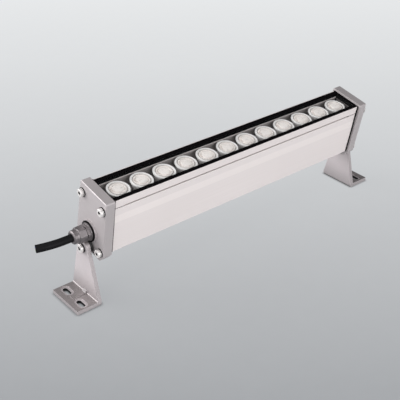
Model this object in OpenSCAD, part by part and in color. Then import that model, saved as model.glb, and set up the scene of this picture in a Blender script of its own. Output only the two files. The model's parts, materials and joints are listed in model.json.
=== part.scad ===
// Outdoor wall washer light: an aluminium profile with a row of lenses under a window,
// thick end caps, a cable gland on the left cap and two slotted feet that it tilts on.
// Sizes are millimetres. The feet stand on the plane z = 0 and X runs along the light.
// The head is drawn upright with the top of its end caps at z = 0, then tilted on its feet.

/* [Housing] */
// Length of the aluminium profile, without gaskets and caps
housing_len = 296; // [260:1:900]
// Height of the profile, from its flat bottom to its top edge
housing_h = 59.9; // [58:0.1:66]
// Width of the profile at its top edge
housing_top_w = 33.2; // [33:0.1:34.4]
// Width of the profile at its widest, above the slanted lower corners
housing_wide_w = 36.4; // [35.8:0.1:38]
// Width of the flat bottom
housing_bottom_w = 28; // [26:0.1:31]
// Height of the slanted lower corners
housing_corner_h = 5; // [3.5:0.1:6]
// Thickness of the side walls and of the bottom
wall_t = 2.2; // [1.8:0.1:2.6]
// Thickness of the shelf between the lens channel and the driver chamber
shelf_t = 3; // [2:0.1:4.5]
// Thin lip of the profile beside the window frame
lip_t = 0.5; // [0.3:0.05:0.8]
// Distance of the bright band's upper edge below the top edge
band_drop = 16.1; // [13:0.1:18]
// Height of the bright band
band_h = 7.3; // [5:0.1:12]
// How far the lower edge of the bright band stands out from the straight side
band_relief = 0.12; // [0.05:0.01:0.3]
// Width of the long groove that opens the upper screw ports
groove_w = 1.2; // [0.8:0.1:1.6]

/* [Window] */
// Thickness of the clear window
glass_t = 2.5; // [2:0.1:2.8]
// Thickness of each flange of the black frame, above and below the window
frame_flange_t = 0.5; // [0.4:0.05:0.6]
// Width of the black border that shows along the window
frame_border_w = 4.4; // [4:0.1:5]
// Thickness of the frame outside the long edges of the window
frame_web_t = 1.5; // [1:0.1:2.5]
// How far the frame lies below the lip of the profile
frame_drop = 0.2; // [0.1:0.05:0.3]
// Thickness of the ledge that carries the frame
ledge_t = 1.2; // [0.8:0.1:1.6]
// How far the ledge stands out over the lens channel
ledge_w = 0.7; // [0.4:0.05:0.9]

/* [Lenses] */
// Distance between two neighbouring lenses
lens_pitch = 24.3; // [22:0.1:30]
// Outer diameter of the bright lens rims
holder_rim_d = 20.8; // [18:0.1:21.4]
// Thickness of a lens rim
holder_rim_t = 1.2; // [0.8:0.1:1.6]
// Height of a lens holder above its board
holder_h = 11.2; // [10:0.1:13]
// Diameter of a lens holder where it stands on the board
holder_base_d = 13; // [12:0.1:16]
// Wall of a lens holder
holder_wall = 1; // [0.7:0.05:1.3]
// Gap between the window frame and the lens rims
lens_drop = 0.3; // [0.2:0.05:1]
// Height of the dome on top of a lens
lens_dome_h = 0.5; // [0.2:0.05:0.7]
// Thickness of the LED board
board_t = 1.6; // [1:0.1:2]
// Thickness of the heat pad under the LED board
pad_t = 0.5; // [0.3:0.1:1]

/* [End caps] */
// Thickness of an end cap
cap_t = 9; // [8.5:0.1:12]
// How far the caps stand above the top edge of the profile
cap_proud = 2.1; // [1.5:0.1:3]
// How far the caps reach below the profile, at least
cap_below = 2.5; // [1:0.1:4]
// Width of an end cap at its top
cap_top_w = 38.2; // [37.4:0.1:40]
// Width of an end cap at its widest
cap_wide_w = 40.8; // [40:0.1:44]
// Width of an end cap at its bottom
cap_bottom_w = 31.5; // [28:0.1:34]
// Height of the slanted lower corners of an end cap
cap_corner_h = 7; // [5:0.1:8]
// Rounding of the upper corners of an end cap
cap_corner_r = 1.5; // [0.8:0.1:3]
// Bevel round the outer face of an end cap
cap_bevel = 0.5; // [0.2:0.1:1]
// Thickness of the black gasket between profile and cap
gasket_t = 2; // [0.6:0.1:2.4]
// How far the gasket stands out round the profile
gasket_overhang = 0.3; // [0.1:0.05:0.8]
// How far the locating pad of a cap reaches into the profile
pad_reach = 3; // [2.5:0.1:4]

/* [Cap screws] */
// Diameter of the thread of the cap screws
cap_screw_d = 3.4; // [3:0.1:3.6]
// Length of a cap screw under its washer
cap_screw_len = 20; // [15:0.5:30]
// Diameter of the head of a cap screw
cap_head_d = 7.2; // [6:0.1:8]
// Height of the head of a cap screw
cap_head_h = 2.3; // [1.8:0.1:2.6]
// Diameter of the washer of a cap screw
cap_washer_d = 8; // [8:0.1:9.2]
// Thickness of the washer of a cap screw
cap_washer_t = 0.5; // [0.3:0.05:0.7]
// Diameter of the black sealing washer under it
cap_seal_d = 8.6; // [8.2:0.1:9.6]
// Thickness of the black sealing washer
cap_seal_t = 0.7; // [0.5:0.05:0.9]
// Depth of the upper screws below the cap's top
upper_screw_depth = 10; // [9.6:0.1:11]
// Distance of the upper screws in from the side of the profile
upper_screw_inset = 2.1; // [2:0.05:2.3]
// Height of the lower screws above the bottom of the profile
lower_screw_rise = 7; // [6:0.1:8]
// Distance of the lower screws in from the side of the profile
lower_screw_inset = 2.6; // [2.4:0.05:3]

/* [Cable gland] */
// Depth of the gland's centre below the cap's top
gland_depth = 41.5; // [38:0.1:42]
// Diameter of the gland's thread in the cap
gland_thread_d = 12; // [11:0.1:13]
// Height of the raised seat round the gland's hole
gland_boss_h = 1.8; // [1:0.1:2]
// Diameter of the black sealing ring
gland_ring_d = 19.3; // [18.5:0.1:20]
// Thickness of the black sealing ring
gland_ring_t = 1; // [0.8:0.1:1.5]
// Width across the flats of the gland's two hexagons
gland_flats = 13.8; // [13.4:0.1:15]
// Turn of the two hexagons about the cable
gland_turn = 15; // [0:1:60]
// Thickness of the gland body's flange and hexagon
gland_body_hex_t = 3.7; // [2.8:0.1:4]
// Length of the hexagon of the dome nut
gland_nut_hex_t = 7.2; // [6:0.1:8]
// Length of the round end of the dome nut
gland_collar_len = 4.9; // [4:0.1:7]
// Diameter of the round end of the dome nut
gland_collar_d = 12.4; // [12:0.1:12.8]

/* [Cable] */
// Diameter of the cable
cable_d = 7; // [6:0.1:7.4]
// Length of the cable's sheath inside the housing, from the gland's thread inwards
cable_tail_len = 12; // [8:0.5:20]
// Diameter of the three cores of the cable
core_d = 2.2; // [1.8:0.1:2.6]
// Diameter of the two leads to the LED board
lead_d = 1.4; // [1.2:0.1:1.8]

/* [Feet] */
// Thickness of the angle feet
bracket_t = 3.7; // [3:0.1:4]
// Gap between an end cap and the upright of a foot
bracket_gap = 3.6; // [3.2:0.1:5]
// Height of the tilt axis above the mounting surface
pivot_h = 50.7; // [48:0.1:60]
// Height of the tilt axis above the bottom of the caps, at least
pivot_edge = 6.5; // [6:0.1:10]
// Gap between the gland's raised seat and the pivot's spacer, or more round the hexagons
swing_gap = 0.7; // [0.4:0.05:2]
// Radius of the rounded top of an upright
bracket_top_r = 7.6; // [7:0.1:7.7]
// Width of a foot along the row of slots
foot_w = 40; // [36:0.5:50]
// How far a foot reaches out from the face of its end cap
foot_reach = 28.3; // [27:0.1:34]
// Radius of the rounded lower edge of the bend
bend_outer_r = 2; // [1:0.1:3]
// Radius of the fillet between the upright and the top of a foot
bend_inner_r = 1.2; // [0.8:0.1:2]
// Tilt of the head towards the front
tilt = 11; // [0:0.5:45]

/* [Slots] */
// Length of a slot, from end to end
slot_len = 10.5; // [8:0.1:12]
// Width of a slot
slot_w = 4.4; // [4:0.1:5]
// Distance between the centres of the two slots of a foot
slot_spacing = 22.4; // [20:0.1:24]
// Distance of the slots in from the outer edge of a foot
slot_inset = 8.9; // [8:0.1:10]
// Width of the recess round a slot
slot_rim_w = 2.2; // [1.5:0.1:2.5]
// Depth of the recess round a slot
slot_rim_depth = 0.8; // [0.4:0.1:1.5]

/* [Foot ribs] */
// Width of the low rib between the slots
rib_w = 5.4; // [4:0.1:6]
// Height of the low rib
rib_h = 0.6; // [0.3:0.1:1]
// Length of the low rib from the upright outwards
rib_len = 14.6; // [10:0.1:18]
// Width of the small gusset in the bend
gusset_w = 4.6; // [1.5:0.1:5]
// Height and reach of the small gusset
gusset_size = 2.8; // [2:0.1:5]

/* [Pivots] */
// Diameter of the pivot screws
pivot_d = 5; // [4:0.1:5.2]
// How deep a pivot screw goes into its end cap
pivot_grip = 7.5; // [6:0.1:8]
// Diameter of the head of a pivot screw
pivot_head_d = 8; // [7.5:0.1:10]
// Height of the head of a pivot screw
pivot_head_h = 2; // [1.6:0.1:3]
// Diameter of the flat washer under the head
pivot_washer_d = 9; // [9:0.1:11]
// Thickness of the flat washer
pivot_washer_t = 0.4; // [0.3:0.05:1]
// Diameter of the spring washer
spring_washer_d = 8.4; // [8:0.1:10]
// Thickness of the spring washer
spring_washer_t = 0.8; // [0.6:0.1:1.5]
// Width of the split in the spring washer
spring_washer_split = 0.6; // [0.4:0.1:1]
// Diameter of the spacer between cap and foot
spacer_d = 12; // [10:0.1:13]

/* [Driver] */
// Length of the driver board
driver_len = 180; // [150:1:200]
// Thickness of the driver board
driver_t = 1.6; // [1:0.1:2]
// Length of the transformer
transformer_len = 22; // [18:0.5:26]
// Width of the transformer
transformer_w = 18; // [14:0.5:22]
// Diameter of the round capacitors
capacitor_d = 12; // [8:0.5:12.5]
// Outer diameter of the ring choke
choke_d = 16; // [12:0.5:20]
// Size of a wire terminal along the driver board
terminal_len = 10; // [8:0.5:12]
// Width of one way of a wire terminal
terminal_pitch = 5; // [4:0.1:5.5]
// Height of a wire terminal
terminal_h = 10; // [8:0.5:12]

/* [Hidden] */
$fn = 48;
// One overrun for every cut
cut = 1;
// Clearances: parts that are fitted together, the running fit on the pivot screws, the
// running gap beside the uprights, and room round loose inner parts
fit_gap = 0.05;
pivot_clear = 0.06;
running_gap = 0.05;
inner_gap = 0.4;
arc_steps = 6;
flats = 6;

// Depths below the top of the caps
lip_depth = cap_proud;
bottom_depth = lip_depth + housing_h;
shoulder_depth = bottom_depth - housing_corner_h;
band_top_depth = lip_depth + band_drop;
band_low_depth = band_top_depth + band_h;
frame_top_depth = lip_depth + frame_drop;
glass_top_depth = frame_top_depth + frame_flange_t;
ledge_depth = glass_top_depth + glass_t + frame_flange_t;
holder_top_depth = ledge_depth + lens_drop;
board_depth = holder_top_depth + holder_h;
pad_depth = board_depth + board_t;
shelf_depth = pad_depth + pad_t;
chamber_top_depth = shelf_depth + shelf_t;
chamber_low_depth = bottom_depth - wall_t;
lower_screw_depth = bottom_depth - lower_screw_rise;

// The tilt axis lies as close under the gland as the feet, spacers and washers allow
gland_boss_rim = 0.15;
gland_boss_r = gland_ring_d / 2 + gland_boss_rim;
gland_flange_share = 0.845;
gland_flange_r = gland_flange_share * gland_ring_d / 2;
gland_corner_share = 0.93;
gland_corner_r = gland_corner_share * gland_flats / 2 / cos(30);
pivot_depth = gland_depth + swing_gap + max(
    gland_corner_r + bracket_top_r,
    gland_flange_r + bracket_top_r,
    gland_boss_r + spacer_d / 2,
    gland_corner_r + pivot_washer_d / 2
);
cap_h = max(pivot_depth + pivot_edge, bottom_depth + cap_below);

// Half widths of the profile down its side
side_slope_share = (housing_wide_w - housing_top_w) / 2 / (shoulder_depth - lip_depth);
function straight_side(depth) = housing_top_w / 2 + (depth - lip_depth) * side_slope_share;
side_line = [
    [lip_depth, housing_top_w / 2],
    [band_top_depth, straight_side(band_top_depth) - band_relief],
    [band_low_depth, straight_side(band_low_depth) + band_relief],
    [shoulder_depth, housing_wide_w / 2]
];
function side_at(depth) = lookup(depth, side_line);

// Window frame, window and lens channel
rebate_w = housing_top_w - 2 * lip_t;
frame_w = rebate_w - 2 * fit_gap;
window_w = frame_w - 2 * frame_border_w;
channel_w = window_w + 2 * ledge_w;
glass_w = frame_w - 2 * frame_web_t;

// Row of lenses
lens_count = floor((housing_len - holder_rim_d) / lens_pitch) + 1;
lens_places = [for (i = [0:lens_count - 1]) (i - (lens_count - 1) / 2) * lens_pitch];
board_w = channel_w - 2 * inner_gap;
board_end_gap = 5;
board_len = housing_len - 2 * board_end_gap;
holder_lip_w = 0.6;
holder_foot_h = 1.5;
lens_skin = 0.1;
chip_w = 3.6;
chip_h = 0.7;
chip_dome_r = 1.2;
board_screw_d = 2.4;
board_head_d = 5.4;
board_head_h = 1.8;
board_screw_step = 2;
lead_hole_r = 1.8;

// Screw ports of the profile and their bosses
port_r = cap_screw_d / 2 + fit_gap;
boss_wall = 1.25;
boss_r = port_r + boss_wall;
cap_hole_gap = 0.3;
cap_hole_r = cap_screw_d / 2 + cap_hole_gap;
upper_port_y = side_at(upper_screw_depth) - upper_screw_inset;
lower_port_y = side_at(lower_screw_depth) - lower_screw_inset;

// Driver board in its two guides
driver_low_depth = lower_screw_depth - boss_r - fit_gap;
driver_top_depth = driver_low_depth - driver_t;
driver_w = 2 * (side_at(lower_screw_depth - boss_r) - wall_t - inner_gap);
guide_w = 1.6;
guide_t = 1;
driver_part_share = 0.715;
driver_part_h = (driver_top_depth - chamber_top_depth) * driver_part_share;
driver_shift_share = -0.03;
driver_x = housing_len * driver_shift_share;
terminal_x = driver_x - driver_len / 2 + terminal_len;
output_x = driver_x + driver_len / 2 - terminal_len;

// Places along X
profile_end = housing_len / 2;
cap_in_x = profile_end + gasket_t;
cap_out_x = cap_in_x + cap_t;
bracket_in_x = cap_out_x + bracket_gap;
bracket_out_x = bracket_in_x + bracket_t;
foot_end_x = cap_out_x + foot_reach;
slot_x = foot_end_x - slot_inset;

// Locating pad on the inside of each cap
pad_side_gap = 0.6;
pad_w = 2 * (lower_port_y - boss_r - pad_side_gap);
pad_margin = 1;
pad_top_depth = chamber_top_depth + pad_margin;
pad_low_depth = chamber_low_depth - pad_margin;

// Gland, measured outwards from the face of the cap
gland_gap = 0.3;
gland_wall = 0.8;
gland_thread_in = cap_t + pad_reach / 4;
gland_bore_r = cable_d / 2 + gland_gap;
gland_hex_start = gland_boss_h + gland_ring_t;
gland_nut_start = gland_hex_start + gland_body_hex_t + gland_gap;
gland_nut_end = gland_nut_start + gland_nut_hex_t + gland_collar_len;
gland_neck_r = gland_collar_d / 2 - gland_wall;
gland_neck_len = gland_nut_hex_t + gland_collar_len / 2;
gland_seat_r = gland_neck_r - gland_wall;
gland_lip_t = 1;
gland_flange_t = 1;
gland_bevel = 0.5;

// Route of the cable out of the gland, from its mouth, and its start in the gland
cable_route = [
    [11, 0, 0], [8, 0, 0], [5, 0, 0], [2, 0, 0], [0, 0, 0], [-3, 0, 0],
    [-6, 0.1, 0], [-9, 0.25, -0.05], [-12, 0.5, -0.1], [-15, 0.95, -0.15],
    [-18, 1.55, -0.25], [-21, 2.3, -0.4], [-24, 3.2, -0.55], [-27, 4.25, -0.75],
    [-29, 5, -0.9], [-30.8, 5.75, -1]
];
cable_sides = 10;
core_ring_share = 0.65;
lead_sides = 8;

// Where the head sits on its feet, with the middle of the whole light over the origin
head_front = (cap_top_w / 2 - cap_corner_r) * cos(tilt)
    + (pivot_depth - cap_corner_r) * sin(tilt) + cap_corner_r;
head_back = cap_wide_w / 2 * cos(tilt) - (pivot_depth - cap_h + cap_corner_h) * sin(tilt);
pivot_y = (max(head_front, foot_w / 2) - max(head_back, foot_w / 2)) / 2;

// Points of the right half of an outline, mirrored to the whole outline
function both_halves(points) = concat(
    points, [for (i = [len(points) - 1:-1:0]) [-points[i][0], points[i][1]]]
);

function cap_half(inset) = concat(
    [for (i = [0:arc_steps]) [
        cap_top_w / 2 - inset - cap_corner_r * (1 - sin(90 * i / arc_steps)),
        -inset - cap_corner_r * (1 - cos(90 * i / arc_steps))
    ]],
    [
        [cap_wide_w / 2 - inset, cap_corner_h - cap_h],
        [cap_bottom_w / 2 - inset / 2, inset - cap_h]
    ]
);

function profile_half(grow) = concat(
    [[housing_top_w / 2 + grow, -lip_depth]],
    [for (i = [1:len(side_line) - 1]) [side_line[i][1] + grow, -side_line[i][0]]],
    [[housing_bottom_w / 2 + grow, -bottom_depth - grow]]
);

// Puts an outline drawn in Y and Z upright and extrudes it along X from x = 0
module along_x(length) {
    rotate([90, 0, 90]) linear_extrude(height = length) children();
}

// Tilts the upright head about its pivots
module on_head() {
    translate([0, pivot_y, pivot_h]) rotate([tilt, 0, 0]) translate([0, 0, pivot_depth])
        children();
}

// Mirrors what is drawn for the right end to the left end, where side is -1
module at_end(side) {
    if (side < 0) mirror([1, 0, 0]) children();
    else children();
}

// Axis frame on the left cap's face, with z pointing out of the cap
module at_gland() {
    on_head() translate([-cap_out_x, 0, -gland_depth]) rotate([0, -90, 0]) children();
}

module at_cap_screws() {
    for (side = [-1, 1]) {
        translate([0, side * upper_port_y, -upper_screw_depth]) children();
        translate([0, side * lower_port_y, -lower_screw_depth]) children();
    }
}

// Round bar along +X from x = 0
module x_rod(r, length) {
    rotate([0, 90, 0]) cylinder(r = r, h = length);
}

module x_ring(outer_r, inner_r, length) {
    difference() {
        x_rod(outer_r, length);
        translate([-cut, 0, 0]) x_rod(inner_r, length + 2 * cut);
    }
}

module hexagon_bar(width, length) {
    rotate([0, 0, 30]) cylinder(d = width / cos(30), h = length, $fn = flats);
}

// Socket screw along X with its seat at x = 0 and its shank towards -X
socket_share = 0.4;
round_share = 0.2;

module socket_screw(head_d, head_h, shank_d, shank_len) {
    round_r = round_share * head_h;
    socket_w = socket_share * head_d;
    rotate([0, 90, 0]) difference() {
        union() {
            rotate_extrude() polygon(concat(
                [[0, 0], [head_d / 2, 0]],
                [for (i = [0:arc_steps]) [
                    head_d / 2 - round_r * (1 - cos(90 * i / arc_steps)),
                    head_h - round_r * (1 - sin(90 * i / arc_steps))
                ]],
                [[0, head_h]]
            ));
            translate([0, 0, -shank_len]) cylinder(d = shank_d, h = shank_len + head_h / 4);
        }
        translate([0, 0, head_h / 3]) hexagon_bar(socket_w, head_h);
    }
}

// Tube swept along points, square to a reference direction that no stretch follows
function unit(v) = v / norm(v);
function way(points, i) = unit(points[min(i + 1, len(points) - 1)] - points[max(i - 1, 0)]);
function ring(points, i, r, sides) =
    let (
        along = way(points, i),
        across = unit(cross(along, [0, 1, 0])),
        up = cross(across, along)
    )
    [for (k = [0:sides - 1]) points[i]
        + r * (across * cos(360 * k / sides) + up * sin(360 * k / sides))];

module tube(points, r, sides) {
    count = len(points);
    corners = [for (i = [0:count - 1]) each ring(points, i, r, sides)];
    skin = [for (i = [0:count - 2], k = [0:sides - 1]) each
        let (
            a = i * sides + k,
            b = i * sides + (k + 1) % sides
        )
        [[a, b, a + sides], [b, b + sides, a + sides]]];
    start = [for (k = [1:sides - 2]) [0, k + 1, k]];
    last = (count - 1) * sides;
    end = [for (k = [1:sides - 2]) [last, last + k, last + k + 1]];
    polyhedron(points = corners, faces = concat(skin, start, end), convexity = 4);
}

// Profile: window rebate, ledge, lens channel, shelf, driver chamber and screw ports
module profile_section() {
    difference() {
        polygon(both_halves(profile_half(0)));
        translate([-rebate_w / 2, -ledge_depth]) square([rebate_w, ledge_depth + cut]);
        translate([-window_w / 2, -ledge_depth - ledge_t - cut])
            square([window_w, ledge_t + 2 * cut]);
        translate([-channel_w / 2, -shelf_depth])
            square([channel_w, shelf_depth - ledge_depth - ledge_t]);
        difference() {
            chamber_section();
            for (side = [-1, 1]) {
                translate([side * lower_port_y, -lower_screw_depth]) circle(r = boss_r);
                translate([
                    side * (side_at(driver_top_depth) - wall_t - guide_w / 2) - guide_w,
                    inner_gap / 2 - driver_top_depth
                ])
                    square([2 * guide_w, guide_t]);
            }
        }
        for (side = [-1, 1]) {
            translate([side * upper_port_y, -upper_screw_depth]) circle(r = port_r);
            translate([side * lower_port_y, -lower_screw_depth]) circle(r = port_r);
            translate([side * (upper_port_y + port_r) - port_r, -upper_screw_depth - groove_w / 2])
                square([2 * port_r, groove_w]);
        }
    }
}

module chamber_section() {
    polygon(both_halves([
        [side_at(chamber_top_depth) - wall_t, -chamber_top_depth],
        [side_at(shoulder_depth) - wall_t, -shoulder_depth],
        [housing_bottom_w / 2 - wall_t / 2, -chamber_low_depth]
    ]));
}

module housing_extrusion() {
    color("gainsboro") on_head() difference() {
        translate([-profile_end, 0, 0]) along_x(housing_len) profile_section();
        for (x = board_screw_places()) {
            translate([x, 0, -chamber_top_depth - cut])
                cylinder(d = board_screw_d + 2 * fit_gap, h = shelf_t + 2 * cut);
        }
        translate([lead_hole_x(), 0, -chamber_top_depth - cut])
            cylinder(r = lead_hole_r, h = shelf_t + 2 * cut);
    }
}

function board_screw_places() = [
    for (i = [0:board_screw_step:lens_count - 2]) (lens_places[i] + lens_places[i + 1]) / 2
];
function lead_hole_x() = board_len / 2 + board_end_gap / 2;

// Black frame: two strips with a channel for the long edges of the window
module glass_seal() {
    color("black") on_head() difference() {
        translate([-housing_len / 2, -frame_w / 2, -ledge_depth])
            cube([housing_len, frame_w, ledge_depth - frame_top_depth]);
        translate([-housing_len / 2 - cut, -glass_w / 2, -glass_top_depth - glass_t])
            cube([housing_len + 2 * cut, glass_w, glass_t]);
        translate([-housing_len / 2 - cut, -window_w / 2, -ledge_depth - cut])
            cube([housing_len + 2 * cut, window_w, ledge_depth + 2 * cut]);
    }
}

module glass_cover() {
    color("aliceblue", 0.4) on_head()
        translate([-housing_len / 2, -glass_w / 2, -glass_top_depth - glass_t])
            cube([housing_len, glass_w, glass_t]);
}

// Bowl curve of a lens and its holder, from 0 at the board to 1 at the rim
function bowl_r(share) = holder_base_d / 2
    + (holder_rim_d / 2 - holder_lip_w - holder_base_d / 2) * pow(share, 0.7);
bowl_shares = [0, 0.2, 0.45, 0.7, 1];
bowl_h = holder_h - holder_rim_t - holder_foot_h;
function bowl_points(inset) = [
    for (share = bowl_shares) [bowl_r(share) - inset, holder_foot_h + share * bowl_h]
];

module lens_holders() {
    chip_room_r = chip_w / sqrt(2) + inner_gap;
    inside = bowl_points(holder_wall);
    rim_seat = holder_rim_d / 2 - holder_lip_w - holder_wall;
    color("white") on_head() for (x = lens_places) translate([x, 0, -board_depth])
        rotate_extrude() polygon(concat(
            [[chip_room_r, 0], [holder_base_d / 2, 0]],
            bowl_points(0),
            [[holder_rim_d / 2, holder_h - holder_rim_t], [holder_rim_d / 2, holder_h],
                [rim_seat, holder_h]],
            [for (i = [len(inside) - 1:-1:0]) inside[i]],
            [[chip_room_r, holder_foot_h]]
        ));
}

module lenses() {
    skin = bowl_points(holder_wall + lens_skin);
    lens_r = holder_rim_d / 2 - holder_lip_w - holder_wall - lens_skin;
    pocket_r = chip_dome_r + 2 * inner_gap;
    pocket_h = 2 * pocket_r;
    first_h = holder_foot_h + lens_skin;
    color("ghostwhite", 0.7) on_head() for (x = lens_places) translate([x, 0, -board_depth])
        rotate_extrude() polygon(concat(
            [[0, first_h + pocket_h], [pocket_r, first_h + pocket_h], [pocket_r, first_h],
                [skin[0][0], first_h]],
            [for (i = [1:len(skin) - 1]) skin[i]],
            [for (i = [0:arc_steps]) [
                lens_r * cos(90 * i / arc_steps),
                holder_h - lens_skin + (lens_dome_h - fit_gap) * sin(90 * i / arc_steps)
            ]]
        ));
}

module led_chips() {
    color("khaki") on_head() for (x = lens_places) translate([x, 0, -board_depth]) {
        translate([-chip_w / 2, -chip_w / 2, 0]) cube([chip_w, chip_w, chip_h]);
        translate([0, 0, chip_h]) intersection() {
            sphere(r = chip_dome_r);
            translate([-chip_w / 2, -chip_w / 2, -chip_h / 2]) cube(chip_w);
        }
    }
}

module flat_part(depth, thickness) {
    on_head() difference() {
        translate([-board_len / 2, -board_w / 2, -depth - thickness])
            cube([board_len, board_w, thickness]);
        for (x = board_screw_places()) {
            translate([x, 0, -depth - thickness - cut])
                cylinder(d = board_screw_d + inner_gap, h = thickness + 2 * cut);
        }
    }
}

module led_board() {
    color("dimgray") flat_part(board_depth, board_t);
}

module thermal_pad() {
    color("lightsteelblue") flat_part(pad_depth, pad_t);
}

module board_screws() {
    shank_len = board_t + pad_t + shelf_t;
    color("silver") on_head() for (x = board_screw_places()) translate([x, 0, -board_depth])
        rotate([0, -90, 0]) socket_screw(board_head_d, board_head_h, board_screw_d, shank_len);
}

// End caps, drawn for the right end
module cap_plate(with_gland) {
    difference() {
        union() {
            hull() {
                translate([cap_in_x, 0, 0]) along_x(cap_t - cap_bevel)
                    polygon(both_halves(cap_half(0)));
                translate([cap_in_x, 0, 0]) along_x(cap_t)
                    polygon(both_halves(cap_half(cap_bevel)));
            }
            translate([cap_in_x - pad_reach, -pad_w / 2, -pad_low_depth])
                cube([pad_reach + cap_t / 2, pad_w, pad_low_depth - pad_top_depth]);
            if (with_gland) {
                translate([cap_out_x - cap_t / 2, 0, -gland_depth])
                    x_rod(gland_boss_r, cap_t / 2 + gland_boss_h);
            }
        }
        at_cap_screws() translate([cap_in_x - cut, 0, 0]) x_rod(cap_hole_r, cap_t + 2 * cut);
        translate([cap_out_x - pivot_grip - inner_gap, 0, -pivot_depth])
            x_rod(pivot_d / 2 + fit_gap, pivot_grip + inner_gap + cut);
        if (with_gland) {
            translate([cap_in_x - pad_reach - cut, 0, -gland_depth])
                x_rod(gland_thread_d / 2 + fit_gap, cap_t + pad_reach + gland_boss_h + 2 * cut);
        }
    }
}

module left_end_cap() {
    color("lightgray") on_head() at_end(-1) cap_plate(true);
}

module right_end_cap() {
    color("lightgray") on_head() cap_plate(false);
}

// Gaskets, with holes for the screws, and openings for the lens channel and the cap's pad
module gasket() {
    difference() {
        translate([profile_end, 0, 0]) along_x(gasket_t)
            polygon(both_halves(profile_half(gasket_overhang)));
        at_cap_screws() translate([profile_end - cut, 0, 0])
            x_rod(cap_hole_r, gasket_t + 2 * cut);
        translate([profile_end - cut, -channel_w / 2, -shelf_depth])
            cube([gasket_t + 2 * cut, channel_w, shelf_depth - ledge_depth - ledge_t]);
        translate([
            profile_end - cut, -pad_w / 2 - inner_gap, -pad_low_depth - inner_gap
        ])
            cube([gasket_t + 2 * cut, pad_w + 2 * inner_gap,
                pad_low_depth - pad_top_depth + 2 * inner_gap]);
    }
}

module left_gasket() {
    color("black") on_head() at_end(-1) gasket();
}

module right_gasket() {
    color("black") on_head() gasket();
}

// Cap screws with a steel and a black sealing washer each
cap_washer_x = cap_out_x + cap_seal_t;
cap_head_x = cap_washer_x + cap_washer_t;

module cap_screws(side) {
    shank_len = cap_screw_len + cap_head_x - cap_out_x;
    color("silver") on_head() at_end(side) at_cap_screws() translate([cap_head_x, 0, 0])
        socket_screw(cap_head_d, cap_head_h, cap_screw_d, shank_len);
}

module left_cap_screws() {
    cap_screws(-1);
}

module right_cap_screws() {
    cap_screws(1);
}

module cap_washers(side) {
    color("silver") on_head() at_end(side) at_cap_screws() translate([cap_washer_x, 0, 0])
        x_ring(cap_washer_d / 2, cap_hole_r, cap_washer_t);
}

module left_cap_washers() {
    cap_washers(-1);
}

module right_cap_washers() {
    cap_washers(1);
}

module cap_seals(side) {
    color("black") on_head() at_end(side) at_cap_screws() translate([cap_out_x, 0, 0])
        x_ring(cap_seal_d / 2, cap_screw_d / 2 + fit_gap, cap_seal_t);
}

module left_cap_seals() {
    cap_seals(-1);
}

module right_cap_seals() {
    cap_seals(1);
}

// Cable gland, all on the axis of its hole in the left cap
module z_ring(outer_r, inner_r, length) {
    difference() {
        cylinder(r = outer_r, h = length);
        translate([0, 0, -cut]) cylinder(r = inner_r, h = length + 2 * cut);
    }
}

module gland_seal_ring() {
    color("black") at_gland() translate([0, 0, gland_boss_h])
        z_ring(gland_ring_d / 2, gland_thread_d / 2 + fit_gap, gland_ring_t);
}

module gland_body() {
    color("darkgray") at_gland() difference() {
        union() {
            translate([0, 0, -gland_thread_in])
                cylinder(d = gland_thread_d, h = gland_thread_in + gland_hex_start + cut);
            translate([0, 0, gland_hex_start]) {
                cylinder(r = gland_flange_r, h = gland_flange_t - gland_bevel / 2);
                cylinder(r = gland_flange_r - gland_bevel / 2, h = gland_flange_t);
                intersection() {
                    rotate([0, 0, gland_turn]) hexagon_bar(gland_flats, gland_body_hex_t);
                    cylinder(r = gland_corner_r, h = gland_body_hex_t);
                }
            }
            translate([0, 0, gland_hex_start])
                cylinder(r = gland_neck_r, h = gland_body_hex_t + gland_nut_hex_t);
        }
        translate([0, 0, -gland_thread_in - cut])
            cylinder(r = gland_bore_r, h = gland_thread_in + gland_nut_end + cut);
        translate([0, 0, gland_nut_start])
            cylinder(r = gland_seat_r, h = gland_nut_end);
    }
}

module gland_insert() {
    color("dimgray") at_gland() translate([0, 0, gland_nut_start])
        z_ring(gland_seat_r - fit_gap, cable_d / 2 + fit_gap, gland_nut_hex_t + gland_gap);
}

module gland_dome_nut() {
    collar_start = gland_nut_start + gland_nut_hex_t;
    edge_r = gland_corner_r;
    collar_r = gland_collar_d / 2;
    collar_base_r = gland_flats / 2 - gland_bevel;
    color("darkgray") at_gland() difference() {
        union() {
            intersection() {
                translate([0, 0, gland_nut_start]) rotate([0, 0, gland_turn])
                    hexagon_bar(gland_flats, gland_nut_hex_t);
                rotate_extrude() polygon([
                    [0, gland_nut_start], [edge_r - gland_bevel, gland_nut_start],
                    [edge_r, gland_nut_start + gland_bevel], [edge_r, collar_start - gland_bevel],
                    [gland_flats / 2, collar_start], [0, collar_start]
                ]);
            }
            rotate_extrude() polygon(concat(
                [[0, collar_start - gland_bevel], [collar_base_r, collar_start - gland_bevel],
                    [collar_base_r, collar_start]],
                [for (i = [0:arc_steps]) [
                    collar_r + (collar_base_r - collar_r) * (1 - sin(90 * i / arc_steps)),
                    collar_start + gland_collar_len / 3 * (1 - cos(90 * i / arc_steps))
                ]],
                [[collar_r, gland_nut_end - gland_lip_t],
                    [collar_r - gland_lip_t, gland_nut_end], [0, gland_nut_end]]
            ));
        }
        translate([0, 0, gland_nut_start - cut])
            cylinder(r = gland_neck_r + fit_gap, h = gland_neck_len + cut);
        cylinder(r = gland_bore_r, h = gland_nut_end + cut);
    }
}

// Cable: its free stretch, its end inside the housing, and its three cores
cable_mouth = [
    -cap_out_x - gland_nut_end,
    pivot_y - (pivot_depth - gland_depth) * sin(tilt),
    pivot_h + (pivot_depth - gland_depth) * cos(tilt)
];

module mains_cable() {
    color("black") translate(cable_mouth) tube(cable_route, cable_d / 2, cable_sides);
}

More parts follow.
